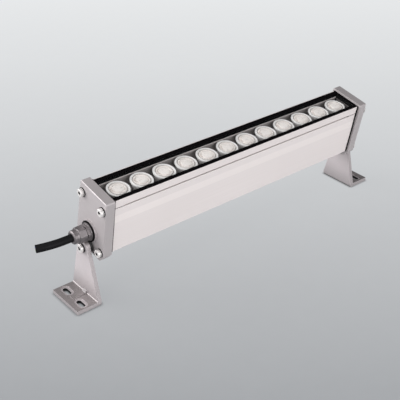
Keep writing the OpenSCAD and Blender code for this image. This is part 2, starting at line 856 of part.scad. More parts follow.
cable_seam_x = -cap_out_x - gland_nut_end + cable_route[0][0];
cable_tail_x = -cap_out_x + gland_thread_in + cable_tail_len;

module cable_tail() {
    color("black") on_head() translate([cable_seam_x, 0, -gland_depth])
        x_rod(cable_d / 2, cable_tail_x - cable_seam_x);
}

module input_leads() {
    start = [cable_tail_x, -gland_depth];
    end = [terminal_x - terminal_len / 2, -driver_top_depth + terminal_h / 3];
    reach = end[0] - start[0];
    drop = end[1] - start[1];
    ring_r = core_d * core_ring_share;
    color("saddlebrown") on_head() for (way = [-1, 0, 1]) {
        near = [ring_r * sin(120 * way), ring_r * cos(120 * way)];
        far_y = way * terminal_pitch;
        tube([for (share = [0, 0.1, 0.25, 0.4, 0.55, 0.7, 0.85, 1])
            let (turn = (1 - cos(180 * share)) / 2)
            [
                start[0] + reach * share,
                near[0] + (far_y - near[0]) * turn,
                start[1] + near[1] * (1 - turn) + drop * turn
            ]
        ], core_d / 2, lead_sides);
    }
}

// Driver board and what stands on it
module driver_board() {
    color("darkgreen") on_head()
        translate([driver_x - driver_len / 2, -driver_w / 2, -driver_low_depth])
            cube([driver_len, driver_w, driver_t]);
}

module on_driver(share, y) {
    on_head() translate([driver_x + driver_len * share, y, -driver_top_depth]) children();
}

module centred_box(length, width, height) {
    translate([-length / 2, -width / 2, 0]) cube([length, width, height]);
}

transformer_share = 0.2;
capacitor_shares = [-0.03, 0.06];
film_capacitor_share = -0.17;
choke_share = -0.3;
rectifier_share = -0.1;
controller_share = 0.32;

module driver_transformer() {
    leg = transformer_len / 5;
    color("darkslategray") on_driver(transformer_share, 0) {
        centred_box(transformer_len, transformer_w, leg);
        translate([0, 0, driver_part_h - leg])
            centred_box(transformer_len, transformer_w, leg);
        for (side = [-1, 1]) {
            translate([side * (transformer_len - leg) / 2, 0, 0])
                centred_box(leg, transformer_w, driver_part_h);
        }
        translate([0, 0, leg / 2]) cylinder(d = 2 * leg, h = driver_part_h - leg);
    }
}

module driver_capacitors() {
    color("midnightblue") for (share = capacitor_shares) on_driver(share, 0)
        cylinder(d = capacitor_d, h = driver_part_h);
}

module driver_film_capacitor() {
    color("goldenrod") on_driver(film_capacitor_share, 0)
        centred_box(terminal_len, 2 * terminal_len, driver_part_h / 2);
}

module driver_choke() {
    core_r = choke_d / 5;
    color("darkorange") on_driver(choke_share, 0) translate([0, 0, core_r])
        rotate_extrude() translate([choke_d / 2 - core_r, 0]) circle(r = core_r);
}

module driver_chips() {
    color("black") for (share = [rectifier_share, controller_share]) on_driver(share, 0)
        centred_box(terminal_pitch, terminal_len, driver_t);
}

module terminal(x, ways) {
    width = ways * terminal_pitch;
    on_head() translate([x, 0, -driver_top_depth]) difference() {
        centred_box(terminal_len, width, terminal_h);
        for (i = [0:ways - 1]) {
            translate([0, (i - (ways - 1) / 2) * terminal_pitch, terminal_h / 2])
                cylinder(d = terminal_pitch / 2, h = terminal_h);
        }
    }
}

module input_terminal() {
    color("seagreen") terminal(terminal_x, 3);
}

module output_terminal() {
    color("seagreen") terminal(output_x, 2);
}

// Two leads from the driver up through the shelf to the end of the LED board
module output_leads() {
    start_x = output_x + terminal_len / 2;
    start_z = -driver_top_depth + terminal_h / 3;
    top_z = -board_depth + lead_d;
    hole_x = lead_hole_x();
    turn = board_end_gap;
    lead_y = lead_d * 0.6;
    color("firebrick") on_head() for (side = [-1, 1]) tube([
        [start_x, side * lead_y, start_z],
        [start_x + turn, side * lead_y, start_z + turn / 3],
        [(start_x + hole_x) / 2, side * lead_y, start_z + turn],
        [hole_x - turn, side * lead_y, start_z + 1.3 * turn],
        [hole_x - turn / 6, side * lead_y, start_z + 2.2 * turn],
        [hole_x, side * lead_y, -chamber_top_depth],
        [hole_x, side * lead_y, -pad_depth],
        [hole_x - lead_d, side * lead_y, top_z],
        [board_len / 2 - lead_d, side * lead_y, top_z - lead_d / 3]
    ], lead_d / 2, lead_sides);
}

// Angle foot, drawn for the right end
module bracket() {
    // Where the sides of the upright touch its round top
    side_len = norm([foot_w / 2, pivot_h - bracket_t]);
    fall = atan2(bracket_t - pivot_h, foot_w / 2);
    touch = fall + acos(bracket_top_r / side_len);
    touch_y = bracket_top_r * cos(touch);
    touch_z = pivot_h + bracket_top_r * sin(touch);
    translate([0, pivot_y, 0]) difference() {
        union() {
            intersection() {
                translate([bracket_in_x, 0, 0]) along_x(foot_end_x - bracket_in_x) union() {
                    polygon(both_halves([
                        [touch_y, touch_z], [foot_w / 2, bracket_t], [foot_w / 2, 0]
                    ]));
                    translate([0, pivot_h]) circle(r = bracket_top_r);
                }
                angle_bar();
            }
            translate([bracket_out_x - bend_inner_r, -rib_w / 2, bracket_t / 2])
                cube([rib_len + bend_inner_r, rib_w, bracket_t / 2 + rib_h]);
            rotate([90, 0, 0]) translate([0, 0, -gusset_w / 2])
                linear_extrude(height = gusset_w) polygon([
                    [bracket_out_x - bracket_t / 2, bracket_t],
                    [bracket_out_x + gusset_size, bracket_t],
                    [bracket_out_x, bracket_t + gusset_size],
                    [bracket_out_x - bracket_t / 2, bracket_t + gusset_size]
                ]);
        }
        for (side = [-1, 1]) {
            translate([slot_x, side * slot_spacing / 2, -cut])
                slot(slot_w, slot_len, bracket_t + 2 * cut);
            translate([slot_x, side * slot_spacing / 2, bracket_t - slot_rim_depth])
                slot(slot_w + 2 * slot_rim_w, slot_len + 2 * slot_rim_w, slot_rim_depth + cut);
        }
        translate([bracket_in_x - cut, 0, pivot_h])
            x_rod(pivot_d / 2 + pivot_clear, bracket_t + 2 * cut);
    }
}

// Section of the foot in X and Z, with a rounded lower edge and a fillet in the bend
module angle_bar() {
    top_z = pivot_h + bracket_top_r;
    rotate([90, 0, 0]) translate([0, 0, -foot_w / 2]) linear_extrude(height = foot_w)
        polygon(concat(
            [[foot_end_x, 0], [foot_end_x, bracket_t]],
            [for (i = [0:arc_steps]) [
                bracket_out_x + bend_inner_r * (1 - sin(90 * i / arc_steps)),
                bracket_t + bend_inner_r * (1 - cos(90 * i / arc_steps))
            ]],
            [[bracket_out_x, top_z], [bracket_in_x, top_z]],
            [for (i = [0:arc_steps]) [
                bracket_in_x + bend_outer_r * (1 - cos(90 * i / arc_steps)),
                bend_outer_r * (1 - sin(90 * i / arc_steps))
            ]]
        ));
}

module slot(width, length, height) {
    run = length - width;
    for (side = [-1, 1]) {
        translate([0, side * run / 2, 0]) cylinder(d = width, h = height);
    }
    translate([-width / 2, -run / 2, 0]) cube([width, run, height]);
}

module left_bracket() {
    color("whitesmoke") at_end(-1) bracket();
}

module right_bracket() {
    color("whitesmoke") bracket();
}

// Pivot screws with their washers and spacers, stacked outwards along X
washer_x = bracket_out_x + running_gap;
spring_x = washer_x + pivot_washer_t;
head_x = spring_x + spring_washer_t;

module pivot_screw(side) {
    color("silver") on_head() at_end(side) translate([head_x, 0, -pivot_depth])
        socket_screw(pivot_head_d, pivot_head_h, pivot_d, head_x - cap_out_x + pivot_grip);
}

module left_pivot_screw() {
    pivot_screw(-1);
}

module right_pivot_screw() {
    pivot_screw(1);
}

module pivot_washer(side) {
    color("dimgray") on_head() at_end(side) translate([washer_x, 0, -pivot_depth])
        x_ring(pivot_washer_d / 2, pivot_d / 2 + fit_gap, pivot_washer_t);
}

module left_pivot_washer() {
    pivot_washer(-1);
}

module right_pivot_washer() {
    pivot_washer(1);
}

module spring_washer(side) {
    color("gray") on_head() at_end(side) translate([spring_x, 0, -pivot_depth])
        difference() {
            x_ring(spring_washer_d / 2, pivot_d / 2 + fit_gap, spring_washer_t);
            translate([-cut, 0, -spring_washer_split / 2])
                cube([spring_washer_t + 2 * cut, spring_washer_d, spring_washer_split]);
        }
}

module left_spring_washer() {
    spring_washer(-1);
}

module right_spring_washer() {
    spring_washer(1);
}

module pivot_spacer(side) {
    color("dimgray") on_head() at_end(side) translate([cap_out_x, 0, -pivot_depth])
        x_ring(spacer_d / 2, pivot_d / 2 + fit_gap, bracket_gap - running_gap);
}

module left_pivot_spacer() {
    pivot_spacer(-1);
}

module right_pivot_spacer() {
    pivot_spacer(1);
}

housing_extrusion();
glass_seal();
glass_cover();
lens_holders();
lenses();
led_chips();
led_board();
board_screws();
thermal_pad();
left_end_cap();
right_end_cap();
left_gasket();
right_gasket();
left_cap_screws();
right_cap_screws();
left_cap_washers();
right_cap_washers();
left_cap_seals();
right_cap_seals();
gland_seal_ring();
gland_body();
gland_insert();
gland_dome_nut();
mains_cable();
cable_tail();
input_leads();
driver_board();
driver_transformer();
driver_capacitors();
driver_film_capacitor();
driver_choke();
driver_chips();
input_terminal();
output_terminal();
output_leads();
left_bracket();
right_bracket();
left_pivot_screw();
right_pivot_screw();
left_pivot_washer();
right_pivot_washer();
left_spring_washer();
right_spring_washer();
left_pivot_spacer();
right_pivot_spacer();
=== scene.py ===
"""Outdoor wall washer light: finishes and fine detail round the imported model.

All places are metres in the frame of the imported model. The feet stand on z = 0.
"""

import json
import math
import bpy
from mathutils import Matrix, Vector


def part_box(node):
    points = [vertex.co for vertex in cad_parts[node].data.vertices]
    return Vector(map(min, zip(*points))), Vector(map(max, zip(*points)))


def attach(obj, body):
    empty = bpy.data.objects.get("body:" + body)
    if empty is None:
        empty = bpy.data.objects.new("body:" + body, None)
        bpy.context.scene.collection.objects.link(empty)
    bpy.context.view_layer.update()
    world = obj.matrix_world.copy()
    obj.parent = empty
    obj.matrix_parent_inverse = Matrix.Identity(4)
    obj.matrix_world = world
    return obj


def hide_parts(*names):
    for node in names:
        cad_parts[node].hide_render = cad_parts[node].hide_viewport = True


bl_info = {
    "name": "Outdoor Wall Washer Light",
    "version": (1, 0, 0),
    "blender": (4, 5, 0),
    "location": "View3D > Sidebar > Wall Washer",
    "description": "Finishes, cable and small parts of an outdoor wall washer light",
    "category": "Add Mesh",
}

import bmesh
import bpy
from mathutils import Euler, Matrix, Vector

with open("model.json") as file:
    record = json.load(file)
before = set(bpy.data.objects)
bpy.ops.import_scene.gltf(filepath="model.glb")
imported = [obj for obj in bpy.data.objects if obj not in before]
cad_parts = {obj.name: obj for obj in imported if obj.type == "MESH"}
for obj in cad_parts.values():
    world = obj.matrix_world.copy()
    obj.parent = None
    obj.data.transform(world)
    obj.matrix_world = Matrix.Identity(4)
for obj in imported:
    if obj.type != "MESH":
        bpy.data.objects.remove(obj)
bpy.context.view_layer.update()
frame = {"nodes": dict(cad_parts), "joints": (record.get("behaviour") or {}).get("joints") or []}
NODES = frame["nodes"]
MM = 0.001
HEAD = "head"
SIDES = ("left", "right")

# A point of the axis on which both feet tilt
PIVOT = next(Vector(joint["pos_m"]) for joint in frame["joints"]
             if joint["child"] == "right_foot")

# How far a surface faces along a direction: 1 towards it, 0 across it, -1 back from it
TOWARDS = (0.8, 1.1)
SLOPING = (0.3, 0.8)
ACROSS = (-0.5, 0.5)
BACK_FROM = (-1.1, -0.8)

# Most values of a noise texture lie between these two
NOISE_LOW, NOISE_HIGH = 0.3, 0.7

# Bends from which edges are rounded and shaded sharp, and up to which faces are flat
ROUNDED_FROM = math.radians(32)
SHARP_FROM = math.radians(38)
FLAT_WITHIN = math.radians(0.6)


class WasherSizes(bpy.types.PropertyGroup):
    """Sizes of the head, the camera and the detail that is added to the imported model"""

    tilt: bpy.props.FloatProperty(
        name="Tilt", description="Lean of the head towards the front",
        default=math.radians(11), subtype="ANGLE")
    pivot_depth: bpy.props.FloatProperty(
        name="Pivot depth", description="Depth of the tilt axis below the tops of the caps",
        default=0.058, unit="LENGTH")
    # Depths of the painted highlight band's edges along the profile
    band_top: bpy.props.FloatProperty(
        name="Band top", description="Depth of the bright band's upper edge below the cap tops",
        default=0.0182, unit="LENGTH")
    band_low: bpy.props.FloatProperty(
        name="Band bottom", description="Depth of the bright band's lower edge below the cap tops",
        default=0.0255, unit="LENGTH")
    ledge_low: bpy.props.FloatProperty(
        name="Ledge bottom", description="Depth of the ledge's underside below the cap tops",
        default=0.00702, unit="LENGTH")
    # Width of the painted shade inside the profile
    inside_shade_width: bpy.props.FloatProperty(
        name="Inner width", description="Width within which the profile is left without finish",
        default=0.0252, unit="LENGTH")
    lens_pitch: bpy.props.FloatProperty(
        name="Lens pitch", description="Distance between two neighbouring lenses",
        default=0.0243, unit="LENGTH")
    lens_count: bpy.props.IntProperty(
        name="Lenses", description="Number of lenses in the row", default=12)
    cable_diameter: bpy.props.FloatProperty(
        name="Cable diameter", description="Outer diameter of the cable",
        default=0.007, unit="LENGTH")
    core_diameter: bpy.props.FloatProperty(
        name="Core diameter", description="Outer diameter of one core of the cable",
        default=0.0022, unit="LENGTH")
    slot_distance: bpy.props.FloatProperty(
        name="Slot distance", description="Distance from the middle to the slots' centre lines",
        default=0.1784, unit="LENGTH")
    slot_offset: bpy.props.FloatProperty(
        name="Slot offset", description="Distance from the pivot to the slots' centres",
        default=0.0112, unit="LENGTH")
    slot_width: bpy.props.FloatProperty(
        name="Slot width", description="Width of the slots in the feet",
        default=0.0044, unit="LENGTH")
    slot_length: bpy.props.FloatProperty(
        name="Slot length", description="Length of the slots in the feet",
        default=0.0105, unit="LENGTH")
    recess_top: bpy.props.FloatProperty(
        name="Recess top", description="Height under which a flat face lies in a slot's recess",
        default=0.0034, unit="LENGTH")
    focal_length: bpy.props.FloatProperty(
        name="Focal length", description="Focal length of the camera, in millimetres",
        default=73.4, unit="CAMERA")


class WasherColours(bpy.types.PropertyGroup):
    """Colours of the finishes, and of the painted highlight and shade"""

    profile: bpy.props.FloatVectorProperty(
        name="Profile", description="Anodised profile", subtype="COLOR",
        default=(0.78, 0.72, 0.71))
    # Painted highlight: the lighter band along the profile where the light glances off it
    band: bpy.props.FloatVectorProperty(
        name="Band", description="Bright band along the profile", subtype="COLOR",
        default=(0.81, 0.75, 0.735))
    cap: bpy.props.FloatVectorProperty(
        name="End caps", description="Bead blasted end caps", subtype="COLOR",
        default=(0.445, 0.41, 0.415))
    foot: bpy.props.FloatVectorProperty(
        name="Feet", description="Anodised feet", subtype="COLOR",
        default=(0.56, 0.51, 0.52))
    # Painted shade on the upper faces of the feet
    flange_shade: bpy.props.FloatVectorProperty(
        name="Flanges", description="Upper faces of the feet", subtype="COLOR",
        default=(0.21, 0.188, 0.188))
    gland: bpy.props.FloatVectorProperty(
        name="Gland", description="Plated cable gland", subtype="COLOR",
        default=(0.185, 0.168, 0.173))
    rubber: bpy.props.FloatVectorProperty(
        name="Rubber", description="Black silicone of window strips, gaskets and rings",
        subtype="COLOR", default=(0.002, 0.0015, 0.002))
    board: bpy.props.FloatVectorProperty(
        name="LED board", description="Dark lacquer of the LED board", subtype="COLOR",
        default=(0.3, 0.27, 0.265))
    # Painted shade: the inside of the profile under the ledge, which lies in shadow
    inside: bpy.props.FloatVectorProperty(
        name="Inside", description="Raw aluminium inside the profile", subtype="COLOR",
        default=(0.42, 0.39, 0.385))
    lens: bpy.props.FloatVectorProperty(
        name="Lenses", description="Cream acrylic of the lenses", subtype="COLOR",
        default=(0.96, 0.905, 0.87))
    floor_near: bpy.props.FloatVectorProperty(
        name="Near floor", description="Floor at the lower edge of the picture",
        subtype="COLOR", default=(0.35, 0.362, 0.379))
    floor_far: bpy.props.FloatVectorProperty(
        name="Far floor", description="Floor at the upper edge of the picture",
        subtype="COLOR", default=(0.83, 0.845, 0.855))


def darker(colour, share):
    """A share of a colour's light"""
    return [part * share for part in colour]


def even_mix(near, far, share, power=1 / 2.2):
    """A colour between two others, in even steps for the eye"""
    return [(n ** power * (1 - share) + f ** power * share) ** (1 / power)
            for n, f in zip(near, far)]


class Finish:
    """A material with one Principled shader and the nodes that shape its detail"""

    def __init__(self, name, colour, roughness, metallic=0.0, **sockets):
        self.material = bpy.data.materials.new(name)
        self.material.use_nodes = True
        self.tree = self.material.node_tree
        self.shader = self.tree.nodes["Principled BSDF"]
        self.shader.inputs["Base Color"].default_value = (*colour[:3], 1.0)
        self.shader.inputs["Roughness"].default_value = roughness
        self.shader.inputs["Metallic"].default_value = metallic
        self.colour = colour
        self.roughness = roughness
        for socket, value in sockets.items():
            self.shader.inputs[socket.replace("_", " ")].default_value = value

    def node(self, kind, **settings):
        """A new node, with settings for its sockets or for itself"""
        made = self.tree.nodes.new(kind)
        for key, value in settings.items():
            if key in made.inputs:
                made.inputs[key].default_value = value
            else:
                setattr(made, key, value)
        return made

    def link(self, source, target):
        """Joins an output of one node to an input of another"""
        self.tree.links.new(source, target)

    def reckon(self, operation, *values):
        """A sum over values that are numbers or the outputs of other nodes"""
        made = self.node("ShaderNodeMath", operation=operation)
        for target, value in zip(made.inputs, values):
            if isinstance(value, bpy.types.NodeSocket):
                self.link(value, target)
            else:
                target.default_value = value
        return made.outputs["Value"]

    def dot(self, vector, direction):
        """The dot product of a node's vector and a direction"""
        made = self.node("ShaderNodeVectorMath", operation="DOT_PRODUCT")
        self.link(vector, made.inputs[0])
        made.inputs[1].default_value = direction
        return made.outputs["Value"]

    def place(self, stretch=(1, 1, 1)):
        """Object coordinates, stretched along the axes"""
        coordinates = self.node("ShaderNodeTexCoord")
        mapping = self.node("ShaderNodeMapping", Scale=stretch)
        self.link(coordinates.outputs["Object"], mapping.inputs["Vector"])
        return mapping.outputs["Vector"]

    def noise(self, scale, detail, stretch=(1, 1, 1)):
        """A noise with so many waves in a metre"""
        made = self.node("ShaderNodeTexNoise", Scale=scale, Detail=detail)
        self.link(self.place(stretch), made.inputs["Vector"])
        return made.outputs["Fac"]

    def spread(self, factor, low, high, start=NOISE_LOW, end=NOISE_HIGH):
        """Maps a factor's range from start to end to the values from low to high"""
        made = self.node("ShaderNodeMapRange")
        made.inputs["From Min"].default_value = start
        made.inputs["From Max"].default_value = end
        made.inputs["To Min"].default_value = low
        made.inputs["To Max"].default_value = high
        self.link(factor, made.inputs["Value"])
        return made.outputs["Result"]

    def along(self, direction):
        """How far a point lies along a direction"""
        return self.dot(self.place(), direction)

    def away(self, direction, middle):
        """How far a point lies from a middle along a direction, to either side"""
        return self.reckon("ABSOLUTE", self.reckon("SUBTRACT", self.along(direction), middle))

    def facing(self, direction):
        """1 where the surface faces along a direction, -1 where it faces back"""
        return self.dot(self.node("ShaderNodeTexCoord").outputs["Normal"], direction)

    def both(self, one, other):
        """1 where both masks are 1"""
        return self.reckon("MULTIPLY", one, other)

    def between(self, value, low, high):
        """1 where the value lies between two limits, otherwise 0"""
        return self.reckon("COMPARE", value, (low + high) / 2, (high - low) / 2)

    def openness(self, distance, alone=False):
        """1 on open surfaces, falling to 0 deep in sockets and slots of all or one piece"""
        return self.node("ShaderNodeAmbientOcclusion", Distance=distance, samples=8,
                         only_local=alone).outputs["AO"]

    def tint(self, factor, colour, amount, start=NOISE_LOW, end=NOISE_HIGH):
        """Blends the base colour towards another as the factor goes from start to end"""
        mix = self.node("ShaderNodeMix", data_type="RGBA")
        socket = self.shader.inputs["Base Color"]
        if socket.is_linked:
            self.link(socket.links[0].from_socket, mix_input(mix, "A"))
        else:
            mix_input(mix, "A").default_value = (*self.colour[:3], 1.0)
        mix_input(mix, "B").default_value = (*colour[:3], 1.0)
        self.link(self.spread(factor, 0.0, amount, start, end), mix.inputs["Factor"])
        self.link(mix_output(mix), socket)

    def paint(self, mask, colour):
        """Gives the masked part a colour of its own"""
        self.tint(mask, colour, 1.0, 0, 1)

    def vary_roughness(self, factor, by):
        """Makes the surface glossier and duller by up to a value, following a noise"""
        low, high = self.roughness - by, self.roughness + by
        self.link(self.spread(factor, low, high), self.shader.inputs["Roughness"])

    def bump(self, factor, depth):
        """Raises the surface by up to a depth, following a noise"""
        made = self.node("ShaderNodeBump", Distance=depth, Strength=1.0)
        self.link(factor, made.inputs["Height"])
        socket = self.shader.inputs["Normal"]
        if socket.is_linked:
            self.link(socket.links[0].from_socket, made.inputs["Normal"])
        self.link(made.outputs["Normal"], socket)


def mix_input(mix, letter):
    """The colour input of a Mix node, which has one A and one B for each kind of data"""
    return [s for s in mix.inputs if s.name == letter and s.type == "RGBA"][0]


def mix_output(mix):
    """The colour output of a Mix node"""
    return [s for s in mix.outputs if s.type == "RGBA"][0]


def metal(name, colour, roughness, grain=900, depth=0.02, metallic=0.4):
    """Bead blasted or plated metal: fine pits, small changes of gloss and faint marks

    The depth of the pits is in millimetres."""
    finish = Finish(name, colour, roughness, metallic)
    pits = finish.noise(grain, detail=6)
    clouds = finish.noise(38, detail=3)
    finish.vary_roughness(clouds, by=0.06)
    finish.tint(clouds, darker(colour, 0.86), amount=0.5)
    finish.bump(pits, depth * MM)
    return finish


def moulded(name, colour, roughness, grain=1400, depth=0.015, **sockets):
    """Moulded plastic or rubber: fine skin, slight clouding and gloss changes

    The depth of the skin is in millimetres."""
    finish = Finish(name, colour, roughness, **sockets)
    skin = finish.noise(grain, detail=5)
    clouds = finish.noise(60, detail=3)
    finish.vary_roughness(clouds, by=0.08)
    finish.tint(clouds, darker(colour, 0.8), amount=0.4)
    finish.bump(skin, depth * MM)
    return finish


def socket_steel(name, colour):
    """Bright steel with painted shade, near black, deep in its socket"""
    finish = metal(name, colour, roughness=0.35, grain=700, depth=0.01, metallic=0.5)
    finish.tint(finish.openness(2.5 * MM), (0.01, 0.01, 0.01), amount=1, start=0.8, end=0.55)
    return finish


def anodised_profile(sizes, colours):
    """Satin anodised aluminium with the draw lines of its die, a painted highlight band and
    painted shade inside
    """
    finish = Finish("anodised_profile", colours.profile, roughness=0.45, metallic=0.35)
    lines = finish.noise(900, detail=5, stretch=(0.01, 1, 1))
    clouds = finish.noise(22, detail=3, stretch=(0.35, 1, 1))
    finish.tint(clouds, darker(colours.profile, 0.93), amount=0.6)
    finish.tint(lines, darker(colours.profile, 0.95), amount=0.5)
    lean = (math.cos(sizes.tilt), math.sin(sizes.tilt))
    up = Vector((0, -lean[1], lean[0]))
    across = Vector((0, *lean))
    height = finish.along(up)
    top = up.dot(PIVOT) + sizes.pivot_depth
    # Painted highlight: a lighter band along the profile
    band = finish.between(height, top - sizes.band_low, top - sizes.band_top)
    finish.paint(band, colours.band)
    # Painted shade inside the profile, below the ledge
    middle = finish.away(across, across.dot(PIVOT))
    inside = finish.both(finish.between(middle, 0, sizes.inside_shade_width / 2),
                         finish.between(height, 0, top - sizes.ledge_low))
    finish.paint(inside, colours.inside)
    finish.vary_roughness(lines, by=0.05)
    finish.bump(lines, 0.012 * MM)
    return finish


def foot_metal(sizes, colours):
    """Anodised metal of the feet with painted shade and light: darker in the bends, on the front
    faces, the gusset and the tops of the flanges, the recess floors a lighter painted tone than
    those tops, and a black painted shadow inside the slots
    """
    finish = metal("foot_metal", colours.foot, roughness=0.45, grain=800, metallic=0.35)
    up = finish.facing((0, 0, 1))
    flat = finish.between(up, *TOWARDS)
    # Painted shade: darker where the uprights meet the flanges and in other nooks
    finish.tint(finish.openness(25 * MM), darker(colours.foot, 0.6), amount=1,
                start=0.97, end=0.6)
    # Painted shade on the faces towards the front
    front = finish.between(finish.facing((0, 1, 0)), *BACK_FROM)
    finish.paint(front, darker(colours.foot, 0.68))
    sideways = finish.away((0, 1, 0), PIVOT.y)
    gusset_reach = 3 * MM
    # Painted shade on the gusset in the bend
    gusset = finish.both(finish.between(up, *SLOPING),
                         finish.between(sideways, 0, gusset_reach))
    finish.paint(gusset, darker(colours.foot, 0.3))
    # Painted shade on the tops of the flanges
    finish.paint(flat, colours.flange_shade)
    # Painted light: the recess floors round the slots lighter than the shaded tops of the flanges
    under_recess = 2 * MM
    recess = finish.between(finish.along((0, 0, 1)), under_recess, sizes.recess_top)
    finish.paint(finish.both(recess, flat), darker(colours.foot, 0.7))
    outward = finish.away((1, 0, 0), 0)
    margin = 0.1 * MM
    reach, run = sizes.slot_width / 2 + margin, sizes.slot_length / 2 + margin
    # Painted shadow: the sides of the slots near black
    slot_wall_shadow = finish.both(
        finish.between(outward, sizes.slot_distance - reach, sizes.slot_distance + reach),
        finish.between(sideways, sizes.slot_offset - run, sizes.slot_offset + run))
    finish.paint(finish.both(slot_wall_shadow, finish.between(up, *ACROSS)), (0.012, 0.011, 0.011))
    return finish


def clear_glass():
    """Clear toughened glass of the window"""
    finish = Finish("clear_glass", (0.05, 0.055, 0.055), roughness=0.03, Alpha=0.07, IOR=1.5)
    smears = finish.noise(26, detail=3)
    finish.vary_roughness(smears, by=0.02)
    return finish


def lens_acrylic(colours):
    """Cream acrylic of the lenses, finely beaded, with grey specks and painted shade in each
    groove and ring step
    """
    finish = moulded("lens_acrylic", colours.lens, roughness=0.22, grain=1500, depth=0.05,
                     IOR=1.49)
    specks = finish.noise(420, detail=4)
    finish.tint(specks, darker(colours.lens, 0.6), amount=0.8, start=0.58, end=0.72)
    # Painted shade in each lens's groove, notch and ring step
    groove_shade = finish.openness(0.9 * MM, alone=True)
    finish.tint(groove_shade, darker(colours.lens, 0.45), amount=1, start=0.62, end=0.3)
    return finish


def dress(node, finish, edge=0.0, segments=2):
    """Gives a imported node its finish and, where asked, edges rounded by so many millimetres"""
    piece = NODES[node]
    piece.data.materials.clear()
    piece.data.materials.append(finish.material)
    if edge:
        weld = piece.modifiers.new("Weld", "WELD")
        weld.merge_threshold = 0.001 * MM
        planes = piece.modifiers.new("Planes", "DECIMATE")
        planes.decimate_type = "DISSOLVE"
        planes.angle_limit = FLAT_WITHIN
        bevel = piece.modifiers.new("Edges", "BEVEL")
        bevel.width = edge * MM
        bevel.segments = segments
        bevel.limit_method = "ANGLE"
        bevel.angle_limit = ROUNDED_FROM
        bevel.harden_normals = True
        normals = piece.modifiers.new("Normals", "WEIGHTED_NORMAL")
        normals.keep_sharp = True
        for polygon in piece.data.polygons:
            polygon.use_smooth = True


def head_matrix(sizes):
    """From the upright head, with the cap tops at z = 0, to its place on the feet"""
    place = Matrix.Translation(Vector((0, PIVOT.y, PIVOT.z)))
    return place @ Matrix.Rotation(sizes.tilt, 4, "X") @ Matrix.Translation(
        Vector((0, 0, sizes.pivot_depth)))


def new_piece(name, mesh, finish, slot, body, *stands_for):
    """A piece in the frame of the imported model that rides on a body"""
    for polygon in mesh.polygons:
        polygon.use_smooth = True
    mesh.set_sharp_from_angle(angle=SHARP_FROM)
    piece = bpy.data.objects.new(name, mesh)
    bpy.context.scene.collection.objects.link(piece)
    mesh.materials.append(finish.material)
    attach(piece, body)
    if stands_for:
        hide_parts(*stands_for)
    return piece


def lathe(bm, profile, place, steps, notch=None):
    """Turns a profile of (radius, height) points round the z axis of a place matrix

    A notch gives, for the angle and the number of a point, how far that point is moved."""
    rings = []
    for number, (radius, height) in enumerate(profile):
        ring = []
        for k in range(steps if radius else 1):
            angle = math.tau * k / steps
            out, up = notch(angle, number) if notch else (0, 0)
            ring.append(bm.verts.new(place @ Vector((
                (radius + out) * math.cos(angle), (radius + out) * math.sin(angle),
                height + up))))
        rings.append(ring)
    for low, high in zip(rings, rings[1:]):
        for k in range(steps):
            k_next = (k + 1) % steps
            # On the axis a ring is one point, so that its faces have three corners
            corners = list(dict.fromkeys((
                low[k % len(low)], low[k_next % len(low)],
                high[k_next % len(high)], high[k % len(high)])))
            if len(corners) > 2:
                bm.faces.new(corners)


def finished_mesh(name, bm):
    """Writes a bmesh to a mesh with its faces turned outwards"""
    bmesh.ops.recalc_face_normals(bm, faces=bm.faces)
    mesh = bpy.data.meshes.new(name)
    bm.to_mesh(mesh)
    bm.free()
    return mesh


